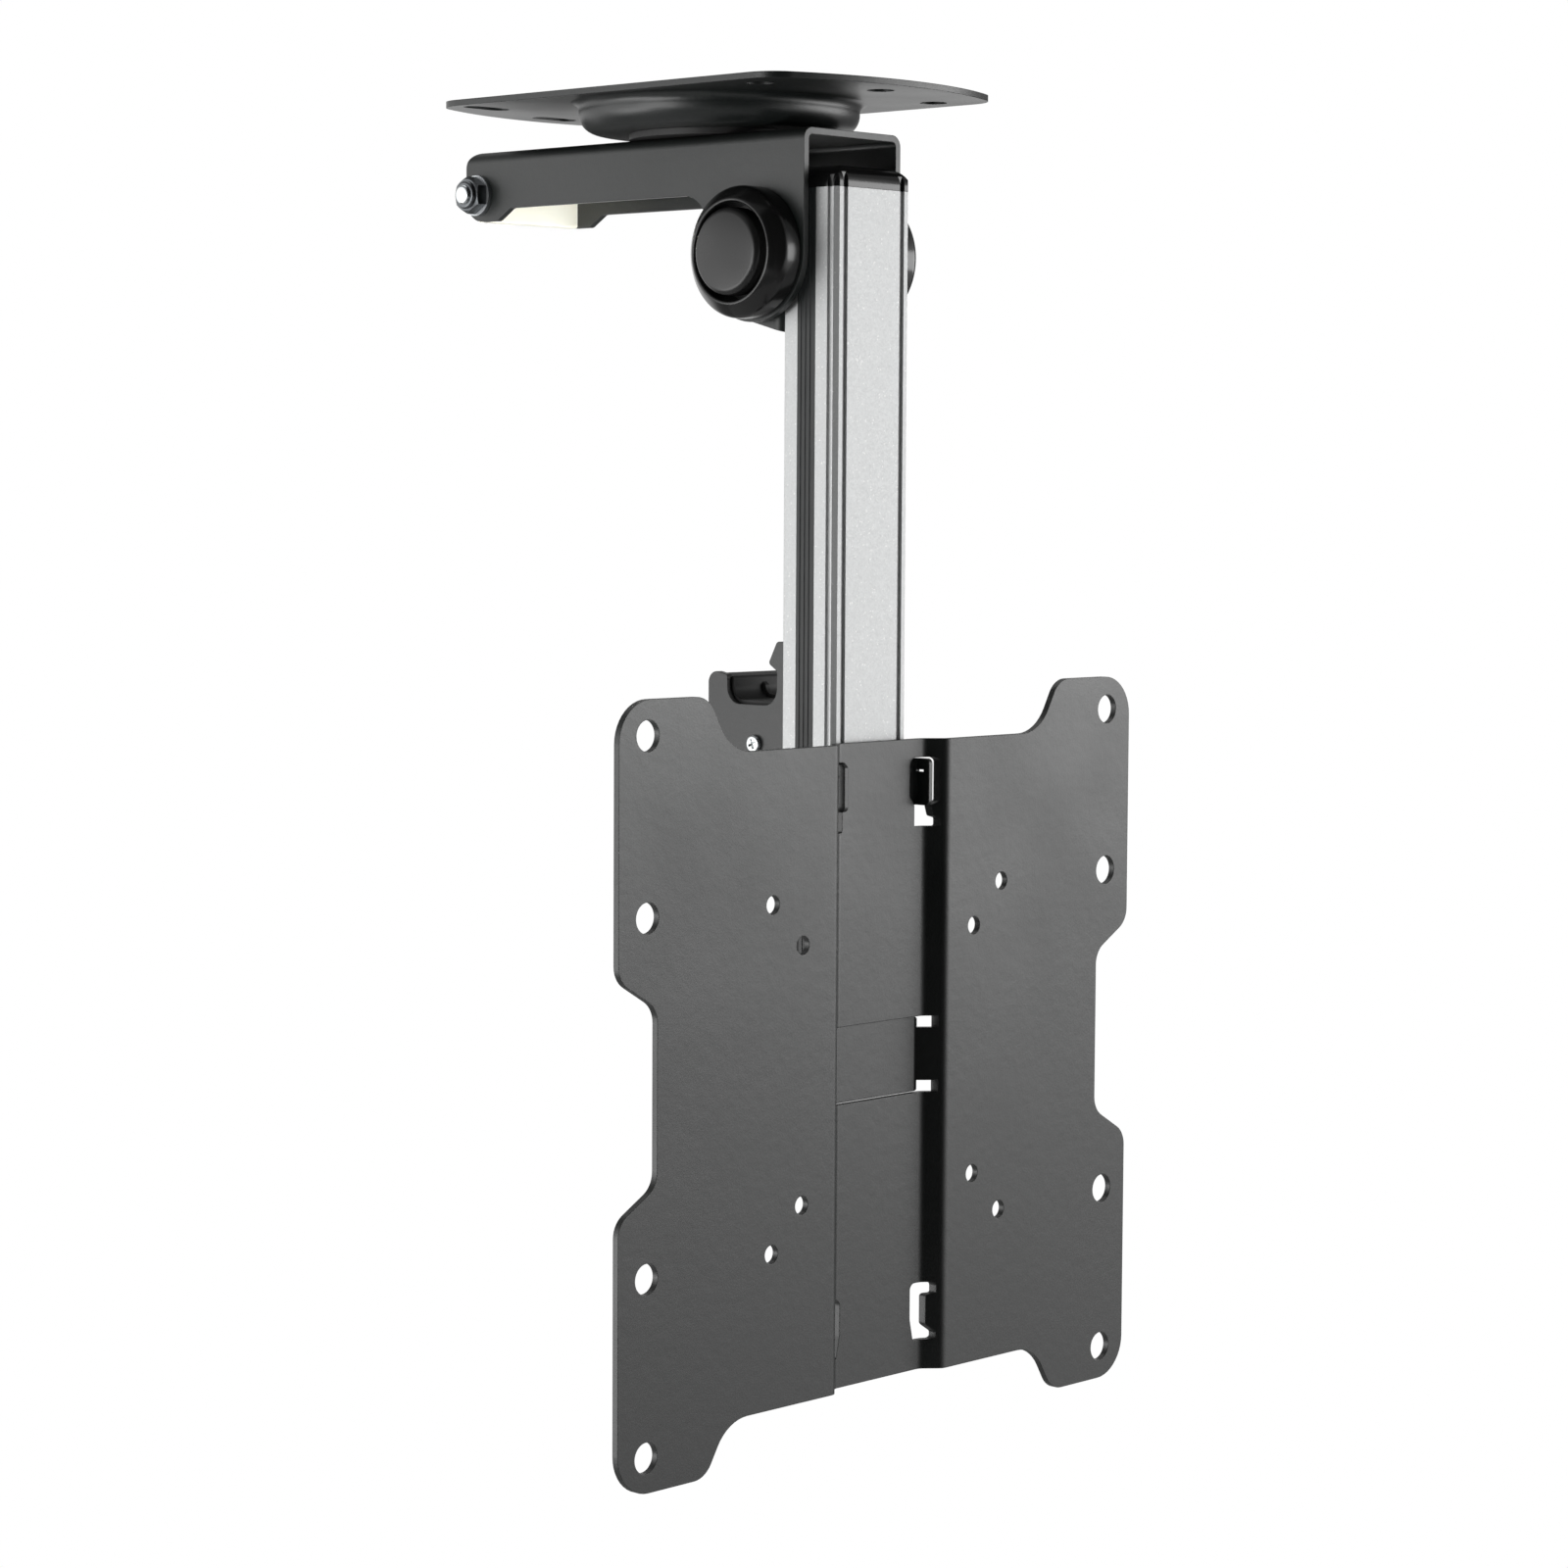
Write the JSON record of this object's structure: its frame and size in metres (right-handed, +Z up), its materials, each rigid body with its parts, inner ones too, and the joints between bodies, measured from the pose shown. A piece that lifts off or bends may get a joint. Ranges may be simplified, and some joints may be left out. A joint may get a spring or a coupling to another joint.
{
  "type": "tv mount",
  "caption": "Flip-down ceiling mount for a small flat screen: swivelling channel arm, folding aluminium pole, latch hook and a lobed screen plate with square hole patterns.",
  "frame": {"origin": "on the swivel axis, in the top face of the ceiling plate", "axes": "+Z up into the ceiling, -Y the way the screen faces, +X to the right of someone behind the screen looking along +Y"},
  "size_m": [0.222, 0.1687, 0.394],
  "materials": {
    "black_steel": "fine-textured black powder coat",
    "anodised_aluminium": "blasted and silver anodised",
    "black_plastic": "moulded, fine satin grain",
    "black_trim": "extruded, ribbed along its length",
    "black_nylon": "moulded, low friction",
    "cream_nylon": "natural nylon, satin",
    "zinc_steel": "bright zinc plated"
  },
  "bodies": {
    "ceiling": {"ceiling_plate": "black_steel", "swivel_bolt": "zinc_steel", "swivel_slip_disc": "black_nylon", "swivel_washer": "zinc_steel", "swivel_spring_washer": "zinc_steel", "swivel_nut": "zinc_steel"},
    "arm": {"arm_channel": "black_steel", "latch_bolt": "zinc_steel", "latch_nut": "zinc_steel", "latch_washer_left": "zinc_steel", "latch_washer_right": "zinc_steel", "latch_pad": "cream_nylon", "hinge_bolt": "zinc_steel", "hinge_nut": "zinc_steel", "hinge_washer_left": "black_nylon", "hinge_washer_right": "black_nylon", "hinge_cover_left": "black_plastic", "hinge_cover_right": "black_plastic", "hinge_cap_left": "black_plastic", "hinge_cap_right": "black_plastic"},
    "drop_pole": {"pole": "anodised_aluminium", "pole_top_cap": "black_plastic", "pole_foot_cap": "black_plastic", "pole_trim_left": "black_trim", "pole_trim_right": "black_trim", "hinge_bracket": "black_steel", "hinge_spacer": "zinc_steel", "hinge_bracket_screws": "zinc_steel", "latch_bracket": "black_steel", "latch_bracket_screws": "zinc_steel", "latch_cradle": "black_plastic", "latch_cradle_screws": "zinc_steel", "hanger_plate": "black_steel", "hanger_screws": "zinc_steel", "screen_plate": "black_steel"}
  },
  "joints": [
    {"name": "swivel", "type": "hinge", "parent": "ceiling", "child": "arm", "pos_m": [0, 0, 0], "axis": [0, 0, 1], "continuous": true},
    {"name": "fold", "type": "hinge", "parent": "arm", "child": "drop_pole", "pos_m": [0, -0.03425, -0.0482], "axis": [1, 0, 0], "range_deg": [0, 90]}
  ]
}
